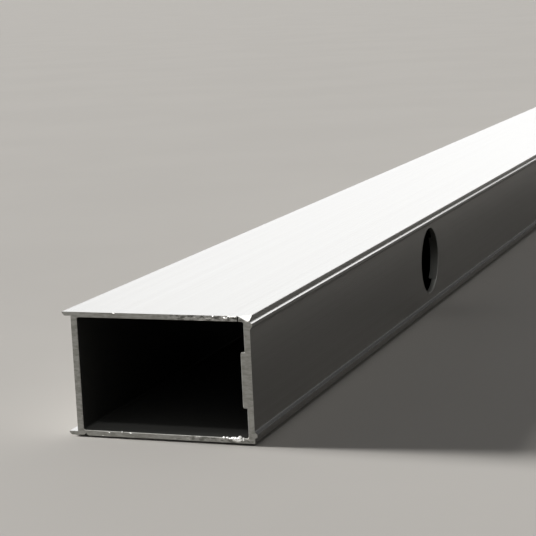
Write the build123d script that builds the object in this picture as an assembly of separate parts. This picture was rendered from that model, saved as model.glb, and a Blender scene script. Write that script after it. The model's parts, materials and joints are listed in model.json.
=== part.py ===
from build123d import *
import os

# Hollow rectangular aluminium extrusion, one piece, lying on its base.
# Lengths are in millimetres. X runs along the length, Y across the section and Z up.
# The origin is the middle of the footprint, on the surface that the profile lies on.
# The lips are on the +Y side, and the clip ridges, the rib and the hole on the -Y side.

# Overall size
length = 1000.0          # a cut length that shops stock
overall_width = 40.0     # over the lips and the clip ridges
height = 25.0

# Walls of the box
flange_wall = 1.1        # top and base
web_wall = 1.3           # front and back walls
inner_corner_radius = 0.4
outer_corner_radius = 0.2

# Lips that carry the top and the base past the back wall
lip_reach = 1.85
lip_thickness = 0.8
lip_bevel = 0.5

# Clip ridges along the two edges of the front wall
ridge_reach = 0.5
ridge_step = 1.15        # from the top or the base to where the ridge starts
ridge_rake = 0.25        # how far that side leans away, from the wall out to the tip
ridge_flat = 0.6         # height of the ridge's outer face
ridge_slope = 0.5        # height of the slope back to the wall

# Rib that thickens the inside of the front wall
rib_height = 11.0
rib_thickness = 0.85
rib_corner_radius = 0.3

# Scribed line under the base, beside the back wall
groove_width = 0.9
groove_depth = 0.5
groove_offset = 0.45     # from the back wall's inner face to the middle of the groove

# Hole through the front wall
hole_diameter = 17.0
hole_from_end = 133.5
hole_height = 13.0
hole_edge_break = 0.15

# Places that several features share
front_face = -overall_width / 2 + ridge_reach
back_face = overall_width / 2 - lip_reach
box_width = back_face - front_face
box_middle = (back_face + front_face) / 2
ribbed_wall = web_wall + rib_thickness
mid_height = height / 2


def box_outline():
    """Outside of the box, with its two front corners rounded."""
    box = Pos(box_middle, mid_height) * Rectangle(box_width, height)
    front_corners = box.vertices().group_by(Axis.X)[0]
    return fillet(front_corners, outer_corner_radius)


def cavity():
    """Hollow of the box with rounded corners, before the rib is put back."""
    hollow = RectangleRounded(
        box_width - 2 * web_wall, height - 2 * flange_wall, inner_corner_radius
    )
    return Pos(box_middle, mid_height) * hollow


def rib():
    """Thicker middle of the front wall, with its two inner corners rounded."""
    strip = Pos(front_face, mid_height) * Rectangle(
        ribbed_wall, rib_height, align=(Align.MIN, Align.CENTER)
    )
    inner_corners = strip.vertices().group_by(Axis.X)[-1]
    return fillet(inner_corners, rib_corner_radius)


def lip(underside):
    """Lip level with the top or the base, bevelled along the lower edge of its tip."""
    root = back_face - web_wall
    strip = Pos(root, underside) * Rectangle(
        web_wall + lip_reach, lip_thickness, align=(Align.MIN, Align.MIN)
    )
    lower_tip = strip.vertices().group_by(Axis.X)[-1].sort_by(Axis.Y)[0]
    return chamfer([lower_tip], lip_bevel)


def ridge():
    """Clip ridge near the top of the front wall, raked above and sloped below."""
    root = front_face + web_wall / 2
    tip = front_face - ridge_reach
    start = height - ridge_step
    flat_start = start - ridge_rake
    flat_end = flat_start - ridge_flat
    slope_end = flat_end - ridge_slope
    outline = Polyline(
        (root, start),
        (front_face, start),
        (tip, flat_start),
        (tip, flat_end),
        (front_face, slope_end),
        (root, slope_end),
        close=True,
    )
    return make_face(outline)


def groove():
    """V-shaped line cut up into the base."""
    middle = back_face - web_wall - groove_offset
    outline = Polyline(
        (middle - groove_width / 2, 0),
        (middle, groove_depth),
        (middle + groove_width / 2, 0),
        close=True,
    )
    return make_face(outline)


def section():
    """Whole cross-section, drawn with Y to the right and Z up."""
    upper_ridge = ridge()
    lower_ridge = mirror(upper_ridge, Plane.XZ.offset(-mid_height))
    walls = box_outline() - cavity()
    walls += rib() + lip(height - lip_thickness) + lip(0)
    walls += upper_ridge + lower_ridge
    return walls - groove()


def side_hole():
    """Tool for the hole: a cylinder through the front wall and its rib, flared at the face."""
    drill = Pos(0, 0, ribbed_wall / 2) * Cylinder(hole_diameter / 2, 2 * ribbed_wall)
    flare = Cone(
        hole_diameter / 2 + hole_edge_break,
        hole_diameter / 2,
        hole_edge_break,
        align=(Align.CENTER, Align.CENTER, Align.MIN),
    )
    place = Pos(hole_from_end - length / 2, front_face, hole_height) * Rot(-90, 0, 0)
    return place * (drill + flare)


def profile():
    """Section extruded to length, with the hole cut."""
    bar = extrude(Plane.YZ.offset(-length / 2) * section(), amount=length)
    return bar - side_hole()


os.makedirs("parts", exist_ok=True)
export_step(profile(), "parts/hollow_profile.step")
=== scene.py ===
import json
import math

import bmesh
import bpy
from mathutils import Matrix, Vector


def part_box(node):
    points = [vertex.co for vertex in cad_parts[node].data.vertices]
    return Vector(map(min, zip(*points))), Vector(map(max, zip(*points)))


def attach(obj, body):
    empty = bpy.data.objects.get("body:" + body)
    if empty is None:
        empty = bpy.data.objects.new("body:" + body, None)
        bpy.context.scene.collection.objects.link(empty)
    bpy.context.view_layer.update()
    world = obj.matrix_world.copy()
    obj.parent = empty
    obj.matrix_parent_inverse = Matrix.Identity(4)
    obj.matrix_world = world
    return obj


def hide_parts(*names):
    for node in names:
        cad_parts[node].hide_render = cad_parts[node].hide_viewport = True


bl_info = {
    "name": "Hollow Aluminium Profile",
    "version": (1, 0, 0),
    "blender": (4, 5, 0),
    "location": "View3D > Sidebar > Profile",
    "description": "Hollow aluminium extrusion with a sawn end, in a plain studio",
    "category": "Add Mesh",
}

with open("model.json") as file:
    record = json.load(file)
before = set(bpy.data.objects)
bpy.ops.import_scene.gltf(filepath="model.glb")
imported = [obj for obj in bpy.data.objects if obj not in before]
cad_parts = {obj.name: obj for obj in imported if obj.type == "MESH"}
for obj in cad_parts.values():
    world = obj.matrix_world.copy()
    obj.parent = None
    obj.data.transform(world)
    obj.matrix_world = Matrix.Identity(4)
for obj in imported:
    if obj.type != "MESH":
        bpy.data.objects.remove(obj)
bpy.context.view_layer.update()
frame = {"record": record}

MM = 0.001
SNAP = 0.02 * MM  # two places nearer than this are the same
SHARP = math.radians(60)  # faces that meet at more than this form a real edge
SQUARE_ON = 0.9  # a face looks along an axis when this much of its normal does
Y_AXIS = 1
Z_AXIS = 2
NODE = "hollow_profile"
BODY = "root"
LOW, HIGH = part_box(NODE)
HEIGHT = HIGH.z - LOW.z
HOLE = next(mount for mount in frame["record"]["mounts"] if mount["name"] == "side_hole")


# Properties that a user would change

def length_property(name, description, millimetres):
    """A length, kept in metres, with its default given in millimetres."""
    return bpy.props.FloatProperty(
        name=name,
        description=description,
        default=millimetres * MM,
        min=0,
        precision=5,
        subtype="DISTANCE",
        unit="LENGTH",
    )


def place_property(name, description, millimetres):
    """A place along one axis, kept in metres, with its default given in millimetres."""
    return bpy.props.FloatProperty(
        name=name,
        description=description,
        default=millimetres * MM,
        precision=5,
        subtype="DISTANCE",
        unit="LENGTH",
    )


def angle_property(name, description, degrees):
    """An angle, kept in radians, with its default given in degrees."""
    return bpy.props.FloatProperty(
        name=name,
        description=description,
        default=math.radians(degrees),
        precision=4,
        subtype="ANGLE",
        unit="ROTATION",
    )


def number_property(name, description, default):
    """A plain number, such as a roughness or the strength of a lamp."""
    return bpy.props.FloatProperty(name=name, description=description, default=default, precision=4)


def linear(code):
    """Linear red, green and blue of an sRGB hex colour."""
    shares = [int(code[start:start + 2], 16) / 255 for start in (1, 3, 5)]
    return tuple(s / 12.92 if s <= 0.04045 else ((s + 0.055) / 1.055) ** 2.4 for s in shares)


def colour_property(name, description, code):
    """A colour, kept linear, with its default given as an sRGB hex code."""
    return bpy.props.FloatVectorProperty(
        name=name, description=description, default=linear(code), size=3, min=0, max=1, subtype="COLOR"
    )


class ProfileSection(bpy.types.PropertyGroup):
    """Sizes of the extruded section and its hole."""

    flange: length_property("Flange wall", "Thickness of the top and the base", 1.1)
    web: length_property("Web wall", "Thickness of the front and back walls", 1.3)
    inner_radius: length_property("Inner corner", "Radius of the hollow's corners", 0.4)
    outer_radius: length_property("Outer corner", "Radius of the front wall's corners", 0.2)
    lip_reach: length_property("Lip reach", "How far the lips pass the back wall", 1.85)
    lip_thickness: length_property("Lip thickness", "Thickness of the two lips", 0.8)
    lip_bevel: length_property("Lip bevel", "Bevel along the lower edge of a lip", 0.5)
    ridge_reach: length_property("Ridge reach", "How far the clip ridges stand out", 0.5)
    ridge_step: length_property("Ridge step", "From the top or base to the ridge", 1.15)
    ridge_rake: length_property("Ridge rake", "How far the ridge's outer side leans", 0.25)
    ridge_flat: length_property("Ridge flat", "Height of the ridge's tip", 0.6)
    ridge_slope: length_property("Ridge slope", "Height of the slope back to the wall", 0.5)
    ridge_radius: length_property("Ridge rounding", "Radius along the ridge's tip", 0.06)
    ridge_foot: length_property("Ridge foot", "Rounding where the slope meets the wall", 0.3)
    rib_height: length_property("Rib height", "Height of the rib inside the front wall", 11.0)
    rib_thickness: length_property("Rib thickness", "How far the rib stands in", 0.85)
    rib_radius: length_property("Rib corner", "Radius of the rib's corners", 0.3)
    groove_width: length_property("Groove width", "Width of the line under the base", 0.9)
    groove_depth: length_property("Groove depth", "Depth of the line under the base", 0.5)
    groove_offset: length_property("Groove offset", "From the back wall to the groove", 0.45)
    hole_flare: length_property("Hole edge", "Broken edge round the hole", 0.15)


class ProfileEndWear(bpy.types.PropertyGroup):
    """Sizes of what the saw and handling left on the near end."""

    burr_room: length_property("Burr room", "How far burrs stand out of the sawn face", 0.2)
    deburr: length_property("Deburred edge", "Width of the scraped inner edge", 0.1)
    dent_from_front: length_property("Dent place", "From the front wall to the dent's lowest line", 0.4)
    dent_down: length_property("Dent depth", "Knocked corner, down the sawn face", 1.0)
    dent_along: length_property("Dent length", "Knocked corner, along the bar", 1.9)
    dent_spread: number_property("Dent spread", "Width of the dent for each unit of its depth", 2.0)
    tear_from_front: length_property("Tear place", "From the front wall to the tear", 2.5)
    tear_width: length_property("Tear width", "Width of the tear in the top wall", 0.28)
    tear_depth: length_property("Tear depth", "Depth of the tear along the bar", 2.2)
    edge_break: length_property("Base edge", "Broken outer edge at the foot of the sawn end", 0.15)


class ProfileFinish(bpy.types.PropertyGroup):
    """Colours and gloss of the metal."""

    skin: colour_property("Anodised skin", "Natural silver anodised aluminium", "#a6a6a4")
    skin_dark: colour_property("Die line", "Darker fine lines along the bar", "#a09f9d")
    skin_roughness: number_property("Skin roughness", "Satin gloss of the anodised skin", 0.24)
    sawn: colour_property("Sawn metal", "Bare metal on the sawn faces", "#a5a49f")
    sawn_dark: colour_property("Sawn hollow", "Darker hollows left by the saw", "#8c8b85")
    sawn_roughness: number_property("Sawn roughness", "Gloss of the sawn faces", 0.62)
    fleck_dark: colour_property("Dark fleck", "Pits along the ragged edge", "#62615c")
    fleck_light: colour_property("Light fleck", "Bright scores along the ragged edge", "#d6d5cf")
    # Inner walls' colour: mill-finish metal, darkened as painted shade of the hollow and of the tear.
    mill_and_shade: colour_property("Inner walls", "Mill-finish metal inside the hollow", "#5a5a57")
    mill_roughness: number_property("Inner roughness", "Gloss of the inner walls", 0.56)
    # The bore's colour is darker than bare drilled metal: painted shade inside the hole.
    bore: colour_property("Bore", "Drilled metal in the hole", "#747470")
    bore_roughness: number_property("Bore roughness", "Gloss of the drilled metal", 0.5)
    burr: colour_property("Burr", "Bright torn metal", "#f9f8f4")
    burr_roughness: number_property("Burr roughness", "Gloss of the torn metal", 0.42)


class ProfileStudio(bpy.types.PropertyGroup):
    """Floor, lamps and camera. A lamp's direction turns from the bar's far end towards its back."""

    floor_radius: length_property("Floor radius", "Radius of the round floor", 30000)
    floor_gap: length_property("Floor gap", "A rough floor touches the bar only at its high spots", 0.35)
    floor: colour_property("Floor", "Pale matt floor", "#cbc7c1")
    floor_worn: colour_property("Floor patches", "Slightly darker patches of the floor", "#c9c5bf")
    surround: colour_property("Surroundings", "White walls and ceiling", "#ffffff")
    surround_light: number_property("Surrounding light", "How much they light the floor", 0.12)
    surround_seen: number_property("Backdrop", "How bright the camera sees the surroundings", 0.6)
    ceiling_gloss: number_property("Ceiling gloss", "How bright the ceiling is in the metal", 0.9)
    horizon_gloss: number_property("Horizon gloss", "How bright the far walls are in the metal", 0.15)
    ceiling_edge: angle_property("Ceiling edge", "Height from which the ceiling is at its brightest", 36)
    flag_azimuth: angle_property("Flag direction", "Dark card that the lower clip ridge mirrors", -16)
    flag_height: angle_property("Flag height", "Above the floor", 19)
    flag_inner: angle_property("Flag core", "Radius of the card's dark middle", 8)
    flag_outer: angle_property("Flag edge", "Radius at which the card has faded out", 18)
    flag_gloss: number_property("Flag gloss", "How bright the card's middle is in the metal", 0.06)
    key_strength: number_property("Key strength", "Main light, from the bar's back side", 5.6)
    key_azimuth: angle_property("Key direction", "Towards the main light", 92)
    key_height: angle_property("Key height", "Above the floor", 21)
    key_softness: angle_property("Key softness", "Width of the main light", 14)
    glow_strength: number_property("Glow strength", "Low broad light that the top face mirrors", 0.385)
    glow_azimuth: angle_property("Glow direction", "Towards that light", 16)
    glow_height: angle_property("Glow height", "Above the floor", 19)
    glow_softness: angle_property("Glow softness", "Width of that light", 36)
    strip_strength: number_property("Strip strength", "Small lamp that the upper clip ridge mirrors", 0.05)
    strip_azimuth: angle_property("Strip direction", "Towards that lamp", 6)
    strip_height: angle_property("Strip height", "Above the floor", 23)
    strip_softness: angle_property("Strip softness", "Width of that lamp", 14)
    overhead_strength: number_property("Overhead strength", "High lamp that shines into the hollow", 1.2)
    overhead_azimuth: angle_property("Overhead direction", "Towards that lamp", 183)
    overhead_height: angle_property("Overhead height", "Above the floor", 75)
    overhead_softness: angle_property("Overhead softness", "Width of that lamp", 4)
    camera_x: place_property("Camera X", "Along the bar", -789.311)
    camera_y: place_property("Camera Y", "Across the bar", -132.070)
    camera_z: place_property("Camera Z", "Above the bar's underside", 86.870)
    camera_turn: angle_property("Camera turn", "From the bar's length towards its back", 20.514)
    camera_tilt: angle_property("Camera tilt", "Below the level", 9.638)
    camera_roll: angle_property("Camera roll", "About the line of sight", 2.644)
    camera_lens: number_property("Camera lens", "Millimetres on a 36 mm sensor", 112.657)


# Modelling helpers

def make_only_active(piece):
    """Selects this object alone and makes it the active one."""
    bpy.ops.object.select_all(action="DESELECT")
    piece.select_set(True)
    bpy.context.view_layer.objects.active = piece


def start_block(name, low, high):
    """Cube primitive that fills the box from low to high, with its place in its mesh."""
    bpy.ops.object.select_all(action="DESELECT")
    bpy.ops.mesh.primitive_cube_add(size=1, location=(low + high) / 2)
    block = bpy.context.active_object
    block.name = name
    block.scale = high - low
    bpy.ops.object.transform_apply(location=True, rotation=True, scale=True)
    return block


def pick(piece, kind, test):
    """Selects, in edit mode, only the edges or faces that pass the test."""
    bpy.ops.mesh.select_mode(type=kind)
    bpy.ops.mesh.select_all(action="DESELECT")
    mesh = bmesh.from_edit_mesh(piece.data)
    parts = {"EDGE": mesh.edges, "FACE": mesh.faces}[kind]
    chosen = [part for part in parts if test(part)]
    if not chosen:
        raise RuntimeError("nothing to select on " + piece.name)
    for part in chosen:
        part.select_set(True)
    bmesh.update_edit_mesh(piece.data)


def near(value, target):
    return abs(value - target) < SNAP


def is_sharp(edge):
    return edge.calc_face_angle(0) > SHARP


def long_edges(places):
    """Test for the edges along the bar at any of these places in its section."""
    def test(edge):
        return any(all(near(v.co.y, y) and near(v.co.z, z) for v in edge.verts) for y, z in places)
    return test


def side_strip(side, y, levels):
    """Test for faces that look along side (1 or -1) in Y, at y, between any pair of levels."""
    def test(face):
        middle = face.calc_center_median()
        looks = face.normal.y * side > SQUARE_ON and near(middle.y, y)
        return looks and any(low < middle.z < high for low, high in levels)
    return test


def slice_across(axis, places):
    """Cuts the whole mesh along planes square to one axis."""
    normal = Vector((0, 0, 0))
    normal[axis] = 1
    for place in places:
        bpy.ops.mesh.select_all(action="SELECT")
        bpy.ops.mesh.bisect(plane_co=normal * place, plane_no=normal)


def pull(offset):
    """Extrudes the selected faces and moves them."""
    bpy.ops.mesh.extrude_region_move(TRANSFORM_OT_translate={"value": offset})


def round_off(radius, segments):
    """Bevels the selected edges."""
    bpy.ops.mesh.bevel(offset=radius, segments=segments, affect="EDGES")


def break_edges(piece, test, width, segments=1):
    """Bevels the edges of a finished block that pass the test."""
    make_only_active(piece)
    bpy.ops.object.mode_set(mode="EDIT")
    pick(piece, "EDGE", test)
    round_off(width, segments)
    bpy.ops.object.mode_set(mode="OBJECT")


def cut_away(piece, cutter, material):
    """Cuts the cutter's shape out of the piece, leaves its material there and deletes it."""
    cutter.data.materials.append(material)
    make_only_active(piece)
    bpy.ops.object.modifier_add(type="BOOLEAN")
    cut = piece.modifiers[-1]
    cut.operation = "DIFFERENCE"
    cut.solver = "EXACT"
    cut.material_mode = "TRANSFER"
    cut.object = cutter
    bpy.ops.object.modifier_apply(modifier=cut.name)
    make_only_active(cutter)
    bpy.ops.object.delete()


# The bar

def front_face(size):
    """Place of the front wall's outer face, across the section."""
    return LOW.y + size.ridge_reach


def back_face(size):
    """Place of the back wall's outer face, across the section."""
    return HIGH.y - size.lip_reach


def sawn_face(wear):
    """Place of the near end's sawn face, along the bar."""
    return LOW.x + wear.burr_room


def ridge_levels(size):
    """Heights of the lower ridge's corners: raked side, tip's two ends and slope's end."""
    start = size.ridge_step
    tip_start = start + size.ridge_rake
    tip_end = tip_start + size.ridge_flat
    return start, tip_start, tip_end, tip_end + size.ridge_slope


def pull_lips(bar, size):
    """Carries the top and the base past the back wall and bevels the lips' lower edges."""
    over_base = size.lip_thickness
    under_top = HEIGHT - size.lip_thickness
    slice_across(Z_AXIS, [over_base, under_top])
    pick(bar, "FACE", side_strip(1, back_face(size), [(0, over_base), (under_top, HEIGHT)]))
    pull((0, size.lip_reach, 0))
    pick(bar, "EDGE", long_edges([(HIGH.y, 0), (HIGH.y, under_top)]))
    round_off(size.lip_bevel, segments=1)


def raise_ridges(bar, size):
    """Pulls two strips out of the front wall and draws their sides back to it."""
    front = front_face(size)
    start, tip_start, tip_end, end = ridge_levels(size)
    lower = [start, tip_start, tip_end, end]
    upper = [HEIGHT - level for level in lower]
    slice_across(Z_AXIS, lower + upper)
    pick(bar, "FACE", side_strip(-1, front, [(start, end), (HEIGHT - end, HEIGHT - start)]))
    pull((0, -size.ridge_reach, 0))
    outer = [start, end, HEIGHT - start, HEIGHT - end]
    pick(bar, "EDGE", long_edges([(LOW.y, level) for level in outer]))
    bpy.ops.transform.translate(value=(0, size.ridge_reach, 0))
    bpy.ops.mesh.select_all(action="SELECT")
    bpy.ops.mesh.remove_doubles(threshold=SNAP)
    tips = [tip_start, tip_end, HEIGHT - tip_start, HEIGHT - tip_end]
    pick(bar, "EDGE", long_edges([(LOW.y, level) for level in tips]))
    round_off(size.ridge_radius, segments=3)
    pick(bar, "EDGE", long_edges([(front, end), (front, HEIGHT - end)]))
    round_off(size.ridge_foot, segments=4)


def press_groove(bar, size):
    """Presses the V-shaped line up into the base."""
    middle = back_face(size) - size.web - size.groove_offset
    half = size.groove_width / 2
    slice_across(Y_AXIS, [middle - half, middle, middle + half])
    pick(bar, "EDGE", long_edges([(middle, 0)]))
    bpy.ops.transform.translate(value=(0, 0, size.groove_depth))


def model_outline(size, wear):
    """Solid bar with the outside of the section."""
    front = front_face(size)
    low = Vector((sawn_face(wear), front, 0))
    high = Vector((HIGH.x, back_face(size), HEIGHT))
    level_enough = math.radians(0.5)
    bar = start_block("extruded_bar", low, high)
    bpy.ops.object.mode_set(mode="EDIT")
    pull_lips(bar, size)
    raise_ridges(bar, size)
    press_groove(bar, size)
    pick(bar, "EDGE", long_edges([(front, 0), (front, HEIGHT)]))
    round_off(size.outer_radius, segments=3)
    bpy.ops.mesh.select_all(action="SELECT")
    bpy.ops.mesh.dissolve_limited(angle_limit=level_enough)
    bpy.ops.object.mode_set(mode="OBJECT")
    return bar


def model_hollow(size, wear):
    """Block that fills the hollow: rounded corners, with the rib's place left out of it."""
    wall_side = front_face(size) + size.web
    back_side = back_face(size) - size.web
    rib_side = wall_side + size.rib_thickness
    rib_low = (HEIGHT - size.rib_height) / 2
    rib_high = HEIGHT - rib_low
    base_side = size.flange
    top_side = HEIGHT - size.flange
    low = Vector((sawn_face(wear), wall_side, base_side))
    high = Vector((HIGH.x, back_side, top_side))
    hollow = start_block("hollow", low, high)
    bpy.ops.object.mode_set(mode="EDIT")
    slice_across(Z_AXIS, [rib_low, rib_high])
    pick(hollow, "FACE", side_strip(-1, wall_side, [(rib_low, rib_high)]))
    pull((0, size.rib_thickness, 0))
    corners = [(y, z) for y in (wall_side, back_side) for z in (base_side, top_side)]
    pick(hollow, "EDGE", long_edges(corners))
    round_off(size.inner_radius, segments=6)
    pick(hollow, "EDGE", long_edges([(rib_side, rib_low), (rib_side, rib_high)]))
    round_off(size.rib_radius, segments=5)
    bpy.ops.object.mode_set(mode="OBJECT")
    return hollow


def open_ends(piece):
    """Deletes the faces at both ends of a bar-long block."""
    make_only_active(piece)
    bpy.ops.object.mode_set(mode="EDIT")
    pick(piece, "FACE", lambda face: abs(face.normal.x) > SQUARE_ON)
    bpy.ops.mesh.delete(type="FACE")
    bpy.ops.object.mode_set(mode="OBJECT")


def line_with(bar, hollow, wear):
    """Joins the hollow's faces to the bar as its inside and fills the walls' ends."""
    open_ends(bar)
    open_ends(hollow)
    make_only_active(bar)
    hollow.select_set(True)
    bpy.ops.object.join()
    bpy.ops.object.mode_set(mode="EDIT")
    for end in (sawn_face(wear), HIGH.x):
        pick(bar, "EDGE", lambda edge: edge.is_boundary and all(near(v.co.x, end) for v in edge.verts))
        bpy.ops.mesh.fill(use_beauty=True)
    bpy.ops.mesh.select_all(action="SELECT")
    bpy.ops.mesh.normals_make_consistent(inside=False)
    bpy.ops.object.mode_set(mode="OBJECT")


def scrape_inner_edge(bar, size, wear):
    """Breaks the hollow's edge on the sawn end, as a deburring knife does."""
    end = sawn_face(wear)
    wall_side = front_face(size) + size.web
    back_side = back_face(size) - size.web

    def on_inner_edge(edge):
        inside = all(
            near(v.co.x, end)
            and wall_side - SNAP < v.co.y < back_side + SNAP
            and size.flange - SNAP < v.co.z < HEIGHT - size.flange + SNAP
            for v in edge.verts
        )
        return inside and is_sharp(edge)
    break_edges(bar, on_inner_edge, wear.deburr)


def break_foot_edge(bar, wear):
    """Breaks the sharp edge that the sawn end stands on."""
    end = sawn_face(wear)

    def on_foot(edge):
        return all(near(v.co.x, end) and near(v.co.z, 0) for v in edge.verts) and is_sharp(edge)
    break_edges(bar, on_foot, wear.edge_break)


def drill_hole(bar, size, drilled_and_shade):
    """Cuts the round hole through the front wall and breaks its outer edge."""
    front = front_face(size)
    place = Vector(HOLE["pos_m"])
    radius = HOLE["dims"]["r_mm"] * MM
    drill_length = 12 * MM
    drill_sides = 160
    across_the_bar = (math.radians(90), 0, 0)
    bpy.ops.object.select_all(action="DESELECT")
    bpy.ops.mesh.primitive_cylinder_add(
        vertices=drill_sides, radius=radius, depth=drill_length, location=place, rotation=across_the_bar
    )
    drill = bpy.context.active_object
    bpy.ops.object.transform_apply(location=True, rotation=True, scale=True)
    # The bore's faces get drilled metal darkened as painted shade of the hole.
    cut_away(bar, drill, drilled_and_shade)

    def on_rim(edge):
        return all(
            near(v.co.y, front) and near(math.hypot(v.co.x - place.x, v.co.z - place.z), radius)
            for v in edge.verts
        )
    break_edges(bar, on_rim, size.hole_flare, segments=2)


def knock_corner(bar, size, wear, torn):
    """Dents the sawn end's corner where the top meets the front wall, with a pointed cutter.

    The cutter is a four-sided cone that lies along the bar, with its tip at the dent's far end.
    """
    above = 0.3 * MM  # from the top up to the cutter's axis
    before = 1.0 * MM  # how far the cutter's base is out of the sawn face
    cuts = 7
    crumple = 0.04 * MM
    crumple_seed = 7
    half = wear.dent_down + above
    to_tip = wear.dent_along * half / wear.dent_down
    depth = to_tip + before
    grown = depth / to_tip
    middle = sawn_face(wear) - before + depth / 2
    place = Vector((middle, front_face(size) + wear.dent_from_front, HEIGHT + above))
    along_the_bar = (0, math.radians(90), 0)
    bpy.ops.object.select_all(action="DESELECT")
    bpy.ops.mesh.primitive_cone_add(
        vertices=4, radius1=1, radius2=0, depth=1, location=place, rotation=along_the_bar
    )
    dent = bpy.context.active_object
    dent.scale = (half * grown, wear.dent_spread * half * grown, depth)
    bpy.ops.object.transform_apply(location=True, rotation=True, scale=True)
    bpy.ops.object.mode_set(mode="EDIT")
    bpy.ops.mesh.select_all(action="SELECT")
    bpy.ops.mesh.subdivide(number_cuts=cuts)
    bpy.ops.transform.vertex_random(offset=crumple, seed=crumple_seed)
    bpy.ops.object.mode_set(mode="OBJECT")
    cut_away(bar, dent, torn)


def tear_top_wall(bar, size, wear, dull):
    """Cuts the narrow tear into the top wall's sawn face, under an unbroken skin of metal."""
    before = 1 * MM  # how far the cutter passes the sawn end
    below = 0.3 * MM  # and the wall's underside
    skin = 0.04 * MM
    lean = 0.2 * MM
    tip_share = 0.2  # of the tear's width is left at its tip
    middle = front_face(size) + wear.tear_from_front
    half = wear.tear_width / 2
    low = Vector((LOW.x - before, middle - half, HEIGHT - size.flange - below))
    high = Vector((sawn_face(wear) + wear.tear_depth, middle + half, HEIGHT - skin))
    tear = start_block("tear_cutter", low, high)
    bpy.ops.object.mode_set(mode="EDIT")
    pick(tear, "FACE", lambda face: face.normal.z > SQUARE_ON)
    bpy.ops.transform.translate(value=(0, -lean, 0))
    pick(tear, "FACE", lambda face: face.normal.x > SQUARE_ON)
    bpy.ops.transform.resize(value=(1, tip_share, 1))
    bpy.ops.object.mode_set(mode="OBJECT")
    # The tear's faces get the inner walls' metal, darkened as painted shade, so the crack shows dark.
    cut_away(bar, tear, dull)


def finish_mesh(piece, smooth_below):
    """Merges doubles, turns the faces outwards and smooths the round stretches.

    Weighted normals keep the large faces flat where they run into a rounding.
    """
    doubled_within = SNAP / 10
    make_only_active(piece)
    bpy.ops.object.mode_set(mode="EDIT")
    bpy.ops.mesh.select_all(action="SELECT")
    bpy.ops.mesh.remove_doubles(threshold=doubled_within)
    bpy.ops.mesh.normals_make_consistent(inside=False)
    bpy.ops.object.mode_set(mode="OBJECT")
    bpy.ops.object.shade_smooth_by_angle(angle=smooth_below)
    bpy.ops.object.modifier_add(type="WEIGHTED_NORMAL")
    weighted = piece.modifiers[-1]
    weighted.keep_sharp = True
    bpy.ops.object.modifier_apply(modifier=weighted.name)


def paint_sawn_faces(bar, wear, bare):
    """Gives the bare metal to both ends' sawn faces and to the edges that are broken there."""
    reach = 1 * MM
    leaning = 0.2  # a face counts when this much of its normal points out of the end
    bare_index = bar.data.materials.find(bare.name)
    for face in bar.data.polygons:
        at_near = face.center.x < sawn_face(wear) + reach and face.normal.x < -leaning
        at_far = face.center.x > HIGH.x - reach and face.normal.x > leaning
        if at_near or at_far:
            face.material_index = bare_index


# Flakes of torn metal on the sawn end.
# Each row gives millimetres from the front wall, height, width and tallness, and a lean in degrees.

TOP_BURRS = (
    (7.45, 24.84, 0.40, 0.34, 0),
    (5.00, 24.66, 0.60, 0.26, -20),
    (4.70, 24.54, 0.55, 0.28, -30),
    (4.10, 24.88, 0.90, 0.28, 5),
    (3.50, 24.86, 1.00, 0.30, -4),
    (2.95, 24.88, 0.80, 0.28, 3),
)
BASE_BURRS = (
    (6.45, 1.02, 0.65, 0.50, 0),
    (5.70, 1.02, 0.55, 0.50, -10),
    (5.25, 0.90, 0.60, 0.38, -8),
    (4.70, 1.02, 0.70, 0.60, 0),
    (4.20, 1.00, 0.75, 0.65, -8),
    (3.70, 0.92, 0.70, 0.60, 10),
    (4.45, 0.74, 0.75, 0.52, -12),
    (4.00, 0.66, 0.75, 0.52, -12),
    (3.60, 0.52, 0.85, 0.48, -8),
    (3.20, 0.56, 0.55, 0.42, 5),
    (3.25, 1.06, 0.80, 0.80, 10),
    (2.92, 0.86, 0.65, 0.65, -5),
    (3.05, 1.20, 0.52, 0.65, 15),
    (3.12, 1.36, 0.28, 0.50, 20),
    (2.45, 0.98, 0.42, 0.60, -20),
    (2.38, 0.70, 0.38, 0.42, -10),
)
SPECKS = (
    (30.70, 0.84, 0.45, 0.08, 4),
    (28.00, 1.02, 0.25, 0.44, -10),
    (26.00, 1.00, 0.60, 0.08, -3),
    (32.10, 0.20, 0.45, 0.06, 3),
    (28.20, 24.90, 0.55, 0.14, 0),
)


def add_flake(size, burr, seed):
    """One crumpled flake of torn metal, which leans back and sideways so that it catches the light."""
    from_front, height, width, tall, lean = burr
    thickest = 0.4  # millimetres, as in the rows
    crumple = 0.05 * MM
    outwards = 0.4  # share of the crumple that goes straight out of the surface
    margin = 0.03 * MM
    thickness = min(thickest, tall) * MM
    tilt = math.radians(38)
    turn = math.radians(-15)
    reach = (tall * MM * math.sin(tilt) + thickness * math.cos(tilt)) / 2
    bpy.ops.object.select_all(action="DESELECT")
    bpy.ops.mesh.primitive_ico_sphere_add(subdivisions=3, radius=0.5, location=(0, 0, 0))
    flake = bpy.context.active_object
    flake.scale = (thickness, width * MM, tall * MM)
    bpy.ops.object.transform_apply(location=True, rotation=True, scale=True)
    bpy.ops.object.mode_set(mode="EDIT")
    bpy.ops.mesh.select_all(action="SELECT")
    bpy.ops.transform.vertex_random(offset=crumple, normal=outwards, seed=seed)
    bpy.ops.object.mode_set(mode="OBJECT")
    flake.rotation_euler = (math.radians(lean), tilt, turn)
    flake.location = (LOW.x + margin + reach, front_face(size) + from_front * MM, height * MM)
    bpy.ops.object.transform_apply(location=True, rotation=True, scale=True)
    return flake


def join_flakes(name, flakes):
    """Joins the flakes into one piece."""
    make_only_active(flakes[0])
    for flake in flakes:
        flake.select_set(True)
    bpy.ops.object.join()
    burrs = bpy.context.active_object
    burrs.name = name
    return burrs


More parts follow.
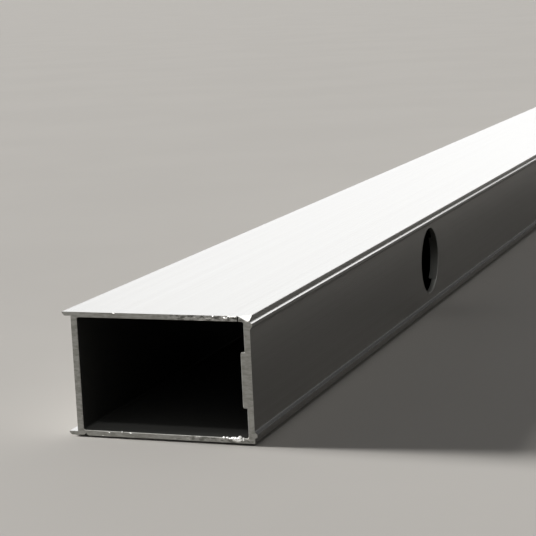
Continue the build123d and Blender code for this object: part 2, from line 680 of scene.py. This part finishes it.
def keep_inside(piece):
    """Presses what stands past the bar's box back to it."""
    for vertex in piece.data.vertices:
        for axis in range(3):
            vertex.co[axis] = min(max(vertex.co[axis], LOW[axis]), HIGH[axis])


# Materials

# A Mix node has inputs and outputs of the same names for each kind of value; these are the colours' own.
MIX_FIRST_COLOUR = 6
MIX_SECOND_COLOUR = 7
MIX_COLOUR_OUT = 2


def add_node(tree, kind, settings=None, links=None, stops=()):
    """Adds a node with its settings and colour stops, and links its inputs to other nodes' outputs."""
    node = tree.nodes.new(kind)
    for name, value in (settings or {}).items():
        if isinstance(name, int) or name in node.inputs:
            node.inputs[name].default_value = value
        else:
            setattr(node, name, value)
    for name, source in (links or {}).items():
        tree.links.new(source, node.inputs[name])
    for index, (position, colour) in enumerate(stops):
        elements = node.color_ramp.elements
        stop = elements[index] if index < len(elements) else elements.new(position)
        stop.position = position
        stop.color = opaque(colour)
    return node


def opaque(colour):
    return (*colour, 1)


def uneven(tree, patch, detail, roughness=0.5, lean=0.0):
    """Uneven pattern whose patches are this long along X, Y and Z, leaning about the bar's length."""
    place = add_node(tree, "ShaderNodeTexCoord")
    stretch = add_node(
        tree,
        "ShaderNodeMapping",
        {"Scale": [1 / side for side in patch], "Rotation": (lean, 0, 0)},
        {"Vector": place.outputs["Object"]},
    )
    noise = add_node(
        tree,
        "ShaderNodeTexNoise",
        {"Scale": 1.0, "Detail": detail, "Roughness": roughness},
        {"Vector": stretch.outputs["Vector"]},
    )
    return noise.outputs["Fac"]


def new_metal(name, roughness):
    """A material with a metal shader, and its node tree."""
    material = bpy.data.materials.new(name)
    material.use_nodes = True
    shader = material.node_tree.nodes["Principled BSDF"]
    shader.inputs["Metallic"].default_value = 1
    shader.inputs["Roughness"].default_value = roughness
    return material, material.node_tree, shader


def uneven_relief(tree, shader, strength, depth, **pattern):
    """Gives the surface an uneven pattern of relief, up to this deep, and returns the pattern."""
    height = uneven(tree, **pattern)
    bump = add_node(tree, "ShaderNodeBump", {"Strength": strength, "Distance": depth}, {"Height": height})
    tree.links.new(bump.outputs["Normal"], shader.inputs["Normal"])
    return height


def satin_anodised_aluminium(finish):
    """Extruded, etched and clear anodised aluminium.

    The etch leaves a soft satin gloss, and the die leaves fine lines along the bar,
    here 0.35 mm apart, coarser than real ones so that they show.
    """
    material, tree, shader = new_metal("satin_anodised_aluminium", finish.skin_roughness)
    die_line = (400 * MM, 0.35 * MM, 0.35 * MM)
    lines = uneven_relief(
        tree, shader, strength=0.1, depth=0.01 * MM, patch=die_line, detail=3, roughness=0.6
    )
    stops = ((0.35, finish.skin_dark), (0.65, finish.skin))
    tone = add_node(tree, "ShaderNodeValToRGB", None, {"Fac": lines}, stops)
    tree.links.new(tone.outputs["Color"], shader.inputs["Base Color"])
    return material


def ragged_share(tree):
    """How torn the sawn face is: most on the top wall, less on the base, and only in the front half."""
    starts = -1 * MM
    full = -6 * MM
    wall_edge = 1.2 * MM
    wall_inside = 1.0 * MM
    base_share = 0.6
    place = add_node(tree, "ShaderNodeTexCoord")
    spot = add_node(tree, "ShaderNodeSeparateXYZ", None, {"Vector": place.outputs["Object"]})
    at_front = add_node(
        tree,
        "ShaderNodeMapRange",
        {"From Min": starts, "From Max": full},
        {"Value": spot.outputs["Y"]},
    )
    in_top_wall = add_node(
        tree,
        "ShaderNodeMapRange",
        {"From Min": HEIGHT - wall_edge, "From Max": HEIGHT - wall_inside},
        {"Value": spot.outputs["Z"]},
    )
    in_base = add_node(
        tree,
        "ShaderNodeMapRange",
        {"From Min": wall_edge, "From Max": wall_inside, "To Max": base_share},
        {"Value": spot.outputs["Z"]},
    )
    in_either = add_node(
        tree,
        "ShaderNodeMath",
        {"operation": "MAXIMUM"},
        {0: in_top_wall.outputs["Result"], 1: in_base.outputs["Result"]},
    )
    ragged = add_node(
        tree,
        "ShaderNodeMath",
        {"operation": "MULTIPLY"},
        {0: at_front.outputs["Result"], 1: in_either.outputs["Value"]},
    )
    return ragged.outputs["Value"]


def sawn_aluminium(finish):
    """Bare aluminium as a saw leaves it: a dull grey face, mottled where the teeth smeared it.

    Dark pits and bright scores show where the saw tore the metal.
    """
    material, tree, shader = new_metal("sawn_aluminium", finish.sawn_roughness)
    smear = (0.9 * MM, 1.8 * MM, 0.5625 * MM)
    score = (0.5 * MM, 1.25 * MM, 0.5 * MM)
    tooth_mark = (0.16 * MM, 0.8 * MM, 0.16 * MM)
    saw_lean = math.radians(12)
    mottle = uneven(tree, smear, detail=4, roughness=0.65)
    mottle_stops = ((0.36, finish.sawn_dark), (0.6, finish.sawn))
    mottled = add_node(tree, "ShaderNodeValToRGB", None, {"Fac": mottle}, mottle_stops)
    flecks = uneven(tree, score, detail=2, roughness=0.6)
    fleck_stops = (
        (0.42, finish.fleck_dark),
        (0.48, finish.sawn),
        (0.58, finish.sawn),
        (0.62, finish.fleck_light),
    )
    flecked = add_node(tree, "ShaderNodeValToRGB", None, {"Fac": flecks}, fleck_stops)
    tone = add_node(
        tree,
        "ShaderNodeMix",
        {"data_type": "RGBA"},
        {
            "Factor": ragged_share(tree),
            MIX_FIRST_COLOUR: mottled.outputs["Color"],
            MIX_SECOND_COLOUR: flecked.outputs["Color"],
        },
    )
    tree.links.new(tone.outputs[MIX_COLOUR_OUT], shader.inputs["Base Color"])
    uneven_relief(tree, shader, strength=0.5, depth=0.04 * MM, patch=tooth_mark, detail=2, lean=saw_lean)
    return material


def mill_finish_and_shade_aluminium(finish):
    """Aluminium as the die leaves it inside the hollow: duller and darker, with drag lines; its colour is
    darkened further as painted shade of the hollow.
    """
    material, tree, shader = new_metal("mill_finish_and_shade_aluminium", finish.mill_roughness)
    shader.inputs["Base Color"].default_value = opaque(finish.mill_and_shade)
    drag_line = (120 * MM, 0.5 * MM, 0.5 * MM)
    uneven_relief(tree, shader, strength=0.3, depth=0.02 * MM, patch=drag_line, detail=3)
    return material


def drilled_aluminium_and_shade(finish):
    """Aluminium as the drill leaves it in the hole: dull grey, with fine rings round the bore, and
    darkened as painted shade of the hole.
    """
    material, tree, shader = new_metal("drilled_aluminium_and_shade", finish.bore_roughness)
    shader.inputs["Base Color"].default_value = opaque(finish.bore)
    ring = (8 * MM, 0.2 * MM, 8 * MM)
    uneven_relief(tree, shader, strength=0.3, depth=0.01 * MM, patch=ring, detail=3)
    return material


def torn_aluminium(finish):
    """Freshly torn aluminium: bright and uneven, so that it glints."""
    material, tree, shader = new_metal("torn_aluminium", finish.burr_roughness)
    shader.inputs["Base Color"].default_value = opaque(finish.burr)
    grain = (0.2 * MM, 0.2 * MM, 0.2 * MM)
    uneven_relief(tree, shader, strength=0.5, depth=0.03 * MM, patch=grain, detail=2)
    return material


def matt_floor(studio):
    """Plain painted floor, matt and pale, with a faint unevenness.

    Its paint is chalky, so the lamps that are there for the metal leave no sheen on it.
    """
    material = bpy.data.materials.new("matt_floor")
    material.use_nodes = True
    tree = material.node_tree
    shader = tree.nodes["Principled BSDF"]
    shader.inputs["Roughness"].default_value = 0.9
    shader.inputs["Specular IOR Level"].default_value = 0.1
    patch = (120 * MM, 120 * MM, 120 * MM)
    patches = uneven(tree, patch, detail=4, roughness=0.55)
    stops = ((0.4, studio.floor_worn), (0.6, studio.floor))
    tone = add_node(tree, "ShaderNodeValToRGB", None, {"Fac": patches}, stops)
    tree.links.new(tone.outputs["Color"], shader.inputs["Base Color"])
    return material


# Lamps, surroundings and camera

SENSOR_WIDTH = 36  # millimetres, which is how Blender takes it
NEAREST_SEEN = 10 * MM
FARTHEST_SEEN = 100000 * MM
FLOOR_SIDES = 96


def direction(azimuth, height):
    """Unit vector; azimuth turns from the bar's far end towards its back."""
    level = math.cos(height)
    return Vector((level * math.cos(azimuth), level * math.sin(azimuth), math.sin(height)))


def add_soft_light(name, strength, azimuth, height, softness):
    """Far-off round soft light, even over the whole floor."""
    bpy.ops.object.light_add(type="SUN")
    light = bpy.context.active_object
    light.name = name
    light.data.energy = strength
    light.data.angle = softness
    light.rotation_euler = (-direction(azimuth, height)).to_track_quat("-Z", "Y").to_euler()
    return light


def add_lamps(studio):
    """Main light, and the lamps that only the metal's gloss shows.

    Those leave the matt floor alone, so the main light's shadow stays even beside the bar.
    """
    add_soft_light(
        "key_light", studio.key_strength, studio.key_azimuth, studio.key_height, studio.key_softness
    )
    glow = add_soft_light(
        "low_glow", studio.glow_strength, studio.glow_azimuth, studio.glow_height, studio.glow_softness
    )
    strip = add_soft_light(
        "ridge_strip",
        studio.strip_strength,
        studio.strip_azimuth,
        studio.strip_height,
        studio.strip_softness,
    )
    overhead = add_soft_light(
        "overhead_lamp",
        studio.overhead_strength,
        studio.overhead_azimuth,
        studio.overhead_height,
        studio.overhead_softness,
    )
    for lamp in (glow, strip, overhead):
        lamp.visible_diffuse = False


def gloss_strength(studio, tree):
    """How bright the metal's gloss sees the room: bright ceiling, dim far walls and the dark card."""
    place = add_node(tree, "ShaderNodeTexCoord")
    towards = add_node(tree, "ShaderNodeSeparateXYZ", None, {"Vector": place.outputs["Generated"]})
    room = add_node(
        tree,
        "ShaderNodeMapRange",
        {
            "interpolation_type": "SMOOTHSTEP",
            "From Min": 0.0,
            "From Max": math.sin(studio.ceiling_edge),
            "To Min": studio.horizon_gloss,
            "To Max": studio.ceiling_gloss,
        },
        {"Value": towards.outputs["Z"]},
    )
    towards_card = add_node(
        tree,
        "ShaderNodeVectorMath",
        {"operation": "DOT_PRODUCT", 1: direction(studio.flag_azimuth, studio.flag_height)},
        {0: place.outputs["Generated"]},
    )
    outside_card = add_node(
        tree,
        "ShaderNodeMapRange",
        {
            "interpolation_type": "SMOOTHSTEP",
            "From Min": math.cos(studio.flag_inner),
            "From Max": math.cos(studio.flag_outer),
        },
        {"Value": towards_card.outputs["Value"]},
    )
    seen = add_node(
        tree,
        "ShaderNodeMix",
        {"data_type": "FLOAT", "A": studio.flag_gloss},
        {"Factor": outside_card.outputs["Result"], "B": room.outputs["Result"]},
    )
    return seen.outputs["Result"]


def soft_surroundings(studio):
    """Plain room with one strength for the light on things, one for gloss and one for the camera."""
    world = bpy.data.worlds.new("soft_surroundings")
    world.use_nodes = True
    tree = world.node_tree
    background = tree.nodes["Background"]
    background.inputs["Color"].default_value = opaque(studio.surround)
    path = add_node(tree, "ShaderNodeLightPath")
    on_the_object = add_node(
        tree,
        "ShaderNodeMix",
        {"data_type": "FLOAT", "A": studio.surround_light},
        {"Factor": path.outputs["Is Glossy Ray"], "B": gloss_strength(studio, tree)},
    )
    seen_directly = add_node(
        tree,
        "ShaderNodeMath",
        {"operation": "MAXIMUM"},
        {0: path.outputs["Is Camera Ray"], 1: path.outputs["Is Transmission Ray"]},
    )
    strength = add_node(
        tree,
        "ShaderNodeMix",
        {"data_type": "FLOAT", "B": studio.surround_seen},
        {"Factor": seen_directly.outputs["Value"], "A": on_the_object.outputs["Result"]},
    )
    tree.links.new(strength.outputs["Result"], background.inputs["Strength"])
    return world


def add_camera(studio):
    """Camera at the photo's viewing angle."""
    bpy.ops.object.camera_add(location=(studio.camera_x, studio.camera_y, studio.camera_z))
    camera = bpy.context.active_object
    camera.name = "photo_camera"
    turn = Matrix.Rotation(studio.camera_turn - math.radians(90), 3, "Z")
    tilt = Matrix.Rotation(math.radians(90) - studio.camera_tilt, 3, "X")
    roll = Matrix.Rotation(-studio.camera_roll, 3, "Z")
    camera.rotation_euler = (turn @ tilt @ roll).to_euler()
    camera.data.sensor_width = SENSOR_WIDTH
    camera.data.lens = studio.camera_lens
    camera.data.clip_start = NEAREST_SEEN
    camera.data.clip_end = FARTHEST_SEEN
    bpy.context.scene.camera = camera


# Operators

class PROFILE_OT_add_bar(bpy.types.Operator):
    """Model the hollow bar with its lips, ridges, rib, groove, hole and worn sawn end"""

    bl_idname = "profile.add_bar"
    bl_label = "Add Bar"

    def execute(self, context):
        size = context.scene.profile_section
        wear = context.scene.profile_end_wear
        finish = context.scene.profile_finish
        bare = sawn_aluminium(finish)
        torn = torn_aluminium(finish)
        mill_and_shade = mill_finish_and_shade_aluminium(finish)
        bar = model_outline(size, wear)
        for material in (satin_anodised_aluminium(finish), bare, torn):
            bar.data.materials.append(material)
        hollow = model_hollow(size, wear)
        # The inner walls get metal darkened as painted shade of the hollow.
        hollow.data.materials.append(mill_and_shade)
        line_with(bar, hollow, wear)
        scrape_inner_edge(bar, size, wear)
        break_foot_edge(bar, wear)
        paint_sawn_faces(bar, wear, bare)
        drill_hole(bar, size, drilled_aluminium_and_shade(finish))
        knock_corner(bar, size, wear, torn)
        tear_top_wall(bar, size, wear, mill_and_shade)
        finish_mesh(bar, smooth_below=math.radians(30))
        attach(bar, BODY)
        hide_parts(NODE)
        return {"FINISHED"}


class PROFILE_OT_add_burrs(bpy.types.Operator):
    """Model the bright burrs that hang on the sawn end"""

    bl_idname = "profile.add_burrs"
    bl_label = "Add Burrs"

    def execute(self, context):
        size = context.scene.profile_section
        rows = TOP_BURRS + BASE_BURRS + SPECKS
        flakes = [add_flake(size, row, seed) for seed, row in enumerate(rows)]
        burrs = join_flakes("sawn_end_burrs", flakes)
        keep_inside(burrs)
        finish_mesh(burrs, smooth_below=math.radians(60))
        burrs.data.materials.append(bpy.data.materials["torn_aluminium"])
        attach(burrs, BODY)
        return {"FINISHED"}


class PROFILE_OT_add_studio(bpy.types.Operator):
    """Add the plain floor, the soft lamps and the camera"""

    bl_idname = "profile.add_studio"
    bl_label = "Add Studio"

    def execute(self, context):
        studio = context.scene.profile_studio
        bpy.ops.object.select_all(action="DESELECT")
        bpy.ops.mesh.primitive_circle_add(
            vertices=FLOOR_SIDES,
            radius=studio.floor_radius,
            fill_type="NGON",
            location=(0, 0, -studio.floor_gap),
        )
        floor = context.active_object
        floor.name = "floor"
        floor.data.materials.append(matt_floor(studio))
        add_lamps(studio)
        context.scene.world = soft_surroundings(studio)
        add_camera(studio)
        context.scene.view_settings.view_transform = "Standard"
        return {"FINISHED"}


class PROFILE_PT_panel(bpy.types.Panel):
    """Lists the operators and all that can be changed"""

    bl_idname = "PROFILE_PT_panel"
    bl_label = "Hollow Profile"
    bl_space_type = "VIEW_3D"
    bl_region_type = "UI"
    bl_category = "Profile"

    def draw(self, context):
        layout = self.layout
        for operator in (PROFILE_OT_add_bar, PROFILE_OT_add_burrs, PROFILE_OT_add_studio):
            layout.operator(operator.bl_idname)
        for group in PROPERTY_GROUPS:
            settings = getattr(context.scene, group)
            box = layout.box()
            for name in settings.__annotations__:
                box.prop(settings, name)


PROPERTY_GROUPS = {
    "profile_section": ProfileSection,
    "profile_end_wear": ProfileEndWear,
    "profile_finish": ProfileFinish,
    "profile_studio": ProfileStudio,
}
CLASSES = (
    *PROPERTY_GROUPS.values(),
    PROFILE_OT_add_bar,
    PROFILE_OT_add_burrs,
    PROFILE_OT_add_studio,
    PROFILE_PT_panel,
)


def register():
    for item in CLASSES:
        bpy.utils.register_class(item)
    for name, group in PROPERTY_GROUPS.items():
        setattr(bpy.types.Scene, name, bpy.props.PointerProperty(type=group))


def unregister():
    for name in PROPERTY_GROUPS:
        delattr(bpy.types.Scene, name)
    for item in reversed(CLASSES):
        bpy.utils.unregister_class(item)


def main():
    register()
    bpy.ops.profile.add_bar()
    bpy.ops.profile.add_burrs()
    bpy.ops.profile.add_studio()


if __name__ == "__main__":
    main()
